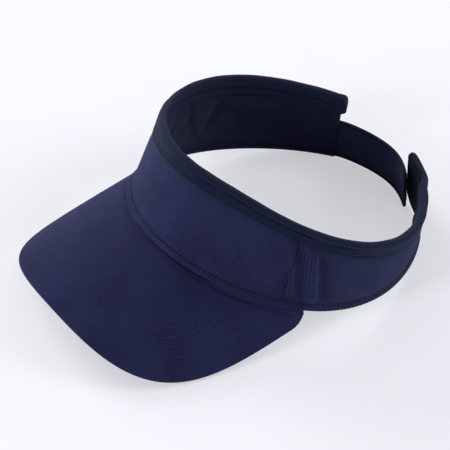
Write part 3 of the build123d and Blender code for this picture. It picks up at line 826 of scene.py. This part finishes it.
def strap_shift(angle):
    share = (RIGHT_END - angle) / (RIGHT_END - STRAP_END)
    return -6.0 * share - 1.2 * hump(share - 0.36, 0.28) * smooth(share * 5)


def tab_shift(angle):
    return -1.6 * smooth((angle - LEFT_END) / (TAB_END - LEFT_END)) + 0.9 * hump(angle - 147, 7)


def corner_tuck(corner, reach):
    """How far a rounded corner has drawn an edge in, at a distance from the end."""
    return corner - np.sqrt(np.maximum(corner ** 2 - np.maximum(corner - reach, 0) ** 2, 0))


def strip(root, last, low, high, corner, turns, step, finish, station):
    """A grid that starts square at its root and ends in two rounded corners: angles, heights, and distances
    from the end, from the nearest free edge, and from the nearest edge of all."""
    sense, length = (1 if last > root else -1), run_between(root, last)
    bend = corner * (1 - np.cos(np.radians(np.linspace(0, 90, turns))))
    reach = np.concatenate([bend, np.arange(corner + step, length - 0.5, step), length - np.array(finish)])
    tuck = corner_tuck(corner, reach)[:, None]
    ups = stations(low + tuck[:, 0], high - tuck[:, 0], *station)
    a, from_end = angle_at(ring_run(last) - sense * reach)[:, None] + 0 * ups, reach[:, None] + 0 * ups
    inside = np.minimum(np.minimum(ups - low - tuck, high - tuck - ups), from_end)
    return sense, length, a, ups, from_end, inside, np.minimum(inside, length - from_end)


def turned_over(skin, sense):
    """Faces of a strip that runs the other way round the ring are turned, so that they look outwards."""
    return (skin[0], [f[::-1] for f in skin[1]], skin[2]) if sense > 0 else skin


def closure_sheet(name, root, last, low, high, corner, layer, shift, bulge, rim, material, node):
    """A ply of the strap or of the tab; `rim` is its turned edge."""
    sense, length, a, ups, from_end, inside, edge = strip(
        root, last, low, high, corner, 14, 1.2, (0.35, 0.17, 0.05, 0), (0.8, 0.5))
    full = rounded_off(np.maximum(edge, 0), 0.35 + 0.6 * abs(rim))
    middle, thick = (layer[0] + layer[1]) / 2, (layer[1] - layer[0]) / 2
    off = shift(a) + bulge * smooth((inside - 2.4) / 4) * (0.25 + 0.75 * smooth((length - from_end) / 12))
    # the turned edge is sewn down over the other ply, so it is thicker and round
    roll = rim * smooth((2.4 - inside) / 1.2)
    middle, thick = middle + off - roll / 2, thick + roll / 2
    uv = np.stack([from_end, ups], -1)
    skin = two_faces(wall(a, ups, middle + thick * full), wall(a, ups, middle - thick * full), uv, uv)
    return to_piece(name, *turned_over(skin, sense), material, None, "twill", node)


strap_root = RIGHT_END - degrees_for(0.3, RIGHT_END)
tab_root = LEFT_END + degrees_for(0.3, LEFT_END)
BACK = 1.9            # an inner ply stops this far inside the turned edge of the outer one
strap_back = STRAP_END + degrees_for(BACK, STRAP_END)
tab_back = TAB_END - degrees_for(BACK, TAB_END)
strap_in = closure_sheet("strap_inner_twill", RIGHT_END, strap_back, STRAP_LOW + BACK, STRAP_HIGH - BACK, 3.0,
                         (-0.74, -0.04), strap_shift, -0.25, 0.0, CLOSURE_TWILL, "strap_inner")
strap_out = closure_sheet("strap_outer_twill", RIGHT_END, STRAP_END, STRAP_LOW - 0.5, STRAP_HIGH + 1.2, 4.8,
                          (0.04, 0.84), strap_shift, 0.0, 1.5, BINDING_TWILL, "strap_outer")
tab_out = closure_sheet("tab_outer_twill", LEFT_END, TAB_END, STRAP_LOW, TAB_HIGH + 0.3, TAB_CORNER,
                        (0.77, 1.47), tab_shift, 2.3, 1.4, BINDING_TWILL, "tab_outer")
tab_in = closure_sheet("tab_inner_twill", LEFT_END, tab_back, STRAP_LOW + BACK, TAB_HIGH - BACK, 10.4,
                       (-0.01, 0.69), tab_shift, 0.0, 0.0, CLOSURE_TWILL, "tab_inner")

# %% Rows of thread round the strap and the tab
def closure_row(root, last, low, high, corner, inset_by, shift, out, side):
    """A row that runs along one edge, round the end and back along the other edge."""
    sense, length = (1 if last > root else -1), run_between(root, last)
    r = corner - inset_by
    run = np.arange(0, length - corner, 0.8)
    arc = np.radians(np.linspace(0, 90, 10))
    round_end = length - corner + r * np.sin(arc)
    along = np.concatenate([run, round_end, round_end[::-1], run[::-1]])
    ups = np.concatenate([0 * run + low + inset_by, low + corner - r * np.cos(arc),
                          (high - corner + r * np.cos(arc))[::-1], 0 * run + high - inset_by])
    angles = angle_at(ring_run(root) + sense * along)
    path = wall(angles, ups, shift(angles) + out)
    return path, wall(angles, ups, shift(angles) + out + side) - path


strap_row = closure_row(strap_root, STRAP_END, STRAP_LOW, STRAP_HIGH, STRAP_CORNER, 2.2, strap_shift, -0.8, -1)
strap_thread = to_piece("strap_thread", *beads([strap_row]), DARK_THREAD_AND_SHADE, None, "thread", "strap_topstitch")
tab_row = closure_row(tab_root, TAB_END, STRAP_LOW, TAB_HIGH, TAB_CORNER, 2.2, tab_shift, 1.55, 1)
tab_thread = to_piece("tab_thread", *beads([tab_row]), DARK_THREAD_AND_SHADE, None, "thread", "tab_topstitch")

# %% [markdown]
# Hook and loop are two woven backs with different faces. The hook side carries rows of small stiff nylon
# hooks, and the loop side a mat of fine tangled loops. Each hook is drawn as a short stem with a bent tip,
# and the loops as a scatter of short arched threads, both coarser than real so that they show.

# %% Hook and loop piles
# how far each spot of a hook or a loop is carried up and sideways
HOOK_PATH = np.array([(0, 0), (0.6, 0), (0.95, 0.3), (0.75, 1)])
LOOP_PATH = np.array([(0, -0.6), (0.8, -0.3), (0.8, 0.4), (0, 0.7)])


def pile_patch(name, root, last, low, high, corner, back, shift, face, material, body, slot, node, hooks):
    """A woven back with its hooks in rows, or with its loops scattered."""
    rng = np.random.default_rng(7)
    sense, length, a, ups, from_end, _, edge = strip(
        root, last, low, high, corner, 10, 1.5, (0.2, 0), (1.5, 0.2))
    full = rounded_off(np.maximum(edge, 0), 0.2)
    middle, thick = (back[0] + back[1]) / 2, abs(back[1] - back[0]) / 2
    uv = np.stack([from_end, ups], -1)
    outer = wall(a, ups, shift(a) + middle + thick * full)
    inner = wall(a, ups, shift(a) + middle - thick * full)
    skin = turned_over(two_faces(outer, inner, uv, uv), sense)
    spots, faces, total = [skin[0]], list(skin[1]), len(skin[0])
    step, width, carried = (1.5, 0.45, HOOK_PATH) if hooks else (0.75, 0.6, LOOP_PATH)
    thread_faces = run_faces(4, 4)
    for along in np.arange(0.8, length - 0.8, step):
        tuck_here = corner_tuck(corner, along)
        for up in np.arange(low + tuck_here + 0.8, high - tuck_here - 0.7, step):
            d_along, d_up = (0, 0) if hooks else rng.uniform(-0.4, 0.4, 2)
            angle = float(angle_at(ring_run(last) - sense * (along + d_along)))
            root_at = wall(angle, up + d_up, shift(angle) + face[0])
            away = wall(angle, up + d_up, shift(angle) + face[1]) - root_at
            if hooks:
                side = along_ring(np.array(angle))
            else:
                side = wall(angle + rng.uniform(-1, 1), up + rng.uniform(-1, 1), shift(angle) + face[0])
                side = side - root_at
            side = side / max(np.linalg.norm(side), 1e-6) * width
            path = root_at + away * carried[:, :1] + side * carried[:, 1:]
            cross = np.cross(away, side)
            cross = cross / np.linalg.norm(cross) * (0.16 if hooks else 0.1)
            flat = away / np.linalg.norm(away) * 0.08
            thin = np.array([1, 0.9, 0.7, 0.35])[:, None, None]
            corners = np.stack([cross - flat, cross + flat, -cross + flat, -cross - flat])
            ring = path[:, None] + corners[None] * thin
            spots.append(ring.reshape(-1, 3))
            faces += [[total + k for k in face] for face in thread_faces]
            total += len(path) * len(corners)
    spots = np.concatenate(spots)
    return to_piece(name, spots, faces, spots[:, :2], material, body, slot, node)


MARGIN = 3.5          # from the edge of the ply to its pile
loops = pile_patch("loop_pile", -158.0, STRAP_END + degrees_for(MARGIN, STRAP_END), 4.5, 28.5, 1.5,
                   (0.82, 1.15), strap_shift, (1.1, 1.9), LOOPS, "strap", "loop_pile", "loop_patch", False)
hooks = pile_patch("hook_pile", 149.0, TAB_END - degrees_for(MARGIN, TAB_END), 4.5, 43.5, 8.5,
                   (-0.45, -0.12), tab_shift, (-0.42, -1.08), HOOKS, "tab", "hook_pile", "hook_patch", True)

# %% [markdown]
# ## The plies at the joints
# The plies and the thread cross the fold where the strap and the tab leave the band. Their meshes are
# final, so their transforms are baked into them now; they are not blended between the band and a body.

# %% Baking the plies that cross the two folds
BEND_RUN, BEND_UP = 5.0, 16.0        # length of a fold, and the height at which its two ends are taken


def blend_from(pieces, root, sense, shift):
    start = wall(root, BEND_UP, shift(root)) * MM
    end = wall(root + sense * degrees_for(BEND_RUN, root), BEND_UP, shift(root)) * MM
    for piece in pieces:
        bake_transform(piece)
    print("blended", [piece.name for piece in pieces])


blend_from([strap_in, strap_out, strap_thread], RIGHT_END, -1, strap_shift)
blend_from([tab_in, tab_out, tab_thread], LEFT_END, 1, tab_shift)

# %% [markdown]
# ## Cut sizes
# The flat size that each cloth piece was cut to is listed, and its width and length are printed. The lengths
# are measured round the ring on the formulas. A width is a panel's height with its turnings, or the two legs
# and the fold of a tape. The widths of the inner strap ply and the outer tab ply, and the area of the brim's
# covers, were taken from the finished pieces. Where the cut is not a rectangle it also has an area.

# %% Flat sizes
SEAM = (SEAM_FOOT + SEAM_HEAD) / 2
left_run, right_run = run_between(SEAM, LEFT_END), run_between(RIGHT_END, -SEAM)
band_run = run_between(RIGHT_END, LEFT_END)
strap_run, tab_run = run_between(RIGHT_END, STRAP_END), run_between(LEFT_END, TAB_END)
brim_cut = (134, 176, 16200)
# piece, (width, length and, if it is not a rectangle, area), how it is held, on what, and what goes with it
CUTS = [
    (forehead, (66, run_between(-SEAM, SEAM)), "stretched", "front_stiffener", []),
    (left_twill, (60, left_run, 54 * left_run), "stretched", "left_interlining", []),
    (right_twill, (61, right_run, 58 * right_run), "stretched", "right_interlining", []),
    (lining, (66, band_run, 60 * band_run), "stretched", "sweatband_foam", []),
    (top_tape, (29, band_run), "folded", forehead, [tape_thread]),
    (hem_tape, (10, band_run), "folded", forehead, [hem_thread]),
    (right_tape, (14, 41), "folded", right_twill, []),
    (left_tape, (14, 30), "folded", left_twill, []),
    (top_cover, brim_cut, "stretched", "brim_board", [brim_thread]),
    (under_cover, brim_cut, "stretched", "brim_board", []),
    (strap_in, (28, strap_run), "stretched", strap_out, [strap_thread]),
    (strap_out, (31, strap_run), "stretched", strap_in, [loops]),
    (tab_in, (42, tab_run), "stretched", tab_out, [hooks]),
    (tab_out, (46, tab_run), "stretched", tab_in, [tab_thread]),
]
for piece, (wide, long, *area), held, rests_on, others in CUTS:
    print(piece.name, round(wide), "x", round(long), "mm")

# %% [markdown]
# ## Floor, light and camera
# The visor lies on a white table in soft light. The floor is a plain matt white. Three large lamps and a pale
# sky give light at the level where a colour renders about as it is written. The camera looks down from the
# wearer's front left with a long lens.

# %% Floor and background
floor_mesh = bpy.data.meshes.new("table")
floor_mesh.from_pydata([(-6, -6, 0), (6, -6, 0), (6, 6, 0), (-6, 6, 0)], [], [(0, 1, 2, 3)])
floor = to_scene("table", floor_mesh)
paper = new_material("matt_white_paper")
grain = add(paper, "ShaderNodeTexNoise", {"Scale": 300.0, "Detail": 2.0})
tint = add(paper, "ShaderNodeValToRGB", links={"Fac": grain.outputs["Fac"]})
tint.color_ramp.elements[0].color, tint.color_ramp.elements[1].color = colour("#f7f7fb"), colour("#fbfbff")
matt = add(paper, "ShaderNodeBsdfPrincipled", {"Roughness": 0.9, "Specular IOR Level": 0.1},
           {"Base Color": tint.outputs["Color"]})
# to the eye the table is almost burnt out by the light, so part of it is plain white; it keeps its shadow
glow = add(paper, "ShaderNodeEmission", {"Color": colour("#f8f8fd"), "Strength": 1.0})
eye = add(paper, "ShaderNodeLightPath")
part = add(paper, "ShaderNodeMath", {"operation": "MULTIPLY", 1: 0.5}, {0: eye.outputs["Is Camera Ray"]})
burnt = add(paper, "ShaderNodeMixShader", links={0: part.outputs[0], 1: matt.outputs[0], 2: glow.outputs[0]})
floor_mesh.materials.append(finish_material(paper, burnt))

world = bpy.data.worlds.new("pale_sky")
bpy.context.scene.world = world
world.use_nodes = True
world.node_tree.nodes.clear()
rays = add(world, "ShaderNodeLightPath")
sky = add(world, "ShaderNodeBackground", {"Color": colour("#f4f6ff"), "Strength": 0.42})
seen = add(world, "ShaderNodeBackground", {"Color": colour("#f8f8fd"), "Strength": 1.0})
looked = add(world, "ShaderNodeMath", {"operation": "MAXIMUM"},
             {0: rays.outputs["Is Camera Ray"], 1: rays.outputs["Is Glossy Ray"]})
both = add(world, "ShaderNodeMixShader", links={0: looked.outputs[0], 1: sky.outputs[0], 2: seen.outputs[0]})
add(world, "ShaderNodeOutputWorld", links={"Surface": both.outputs[0]})

# %% Lamps
LAMP_DISTANCE = 3.6


def lamp(name, toward, size, power, shade):
    """A square lamp that looks at the visor from one direction."""
    data = bpy.data.lights.new(name, "AREA")
    data.shape, data.size, data.energy, data.color = "SQUARE", size, power, colour(shade)[:3]
    item = to_scene(name, data)
    way = Vector(toward).normalized()
    item.location = way * LAMP_DISTANCE
    item.rotation_euler = way.to_track_quat("Z", "Y").to_euler()
    print("lamp", name, power, "W")


lamp("window", (-1.0, -0.15, 0.45), 1.9, 88, "#ffffff")
lamp("room", (0.0, -1.0, 0.45), 0.9, 56, "#fbfcff")
lamp("far_window", (0.50, 0.85, 0.55), 1.9, 62, "#fbfcff")

# %% Camera
AZIMUTH, ELEVATION, ROLL = math.radians(48.614), math.radians(41.332), math.radians(6.990)
level = math.cos(ELEVATION)
away = Vector((math.sin(AZIMUTH) * level, -math.cos(AZIMUTH) * level, math.sin(ELEVATION)))
right = Vector((math.cos(AZIMUTH), math.sin(AZIMUTH), 0))
above = away.cross(right)
right, above = right * math.cos(ROLL) + above * math.sin(ROLL), above * math.cos(ROLL) - right * math.sin(ROLL)
target = Vector((0.0004348, -0.0477094, 0.030))
camera_data = bpy.data.cameras.new("camera")
camera_data.sensor_width, camera_data.lens = 36.0, 150.58
camera = to_scene("camera", camera_data)
place = Matrix((right, above, away)).transposed().to_4x4()
place.translation = target + away * 1.19787
camera.matrix_world = place
bpy.context.scene.camera = camera
bpy.context.scene.view_settings.view_transform = "Standard"
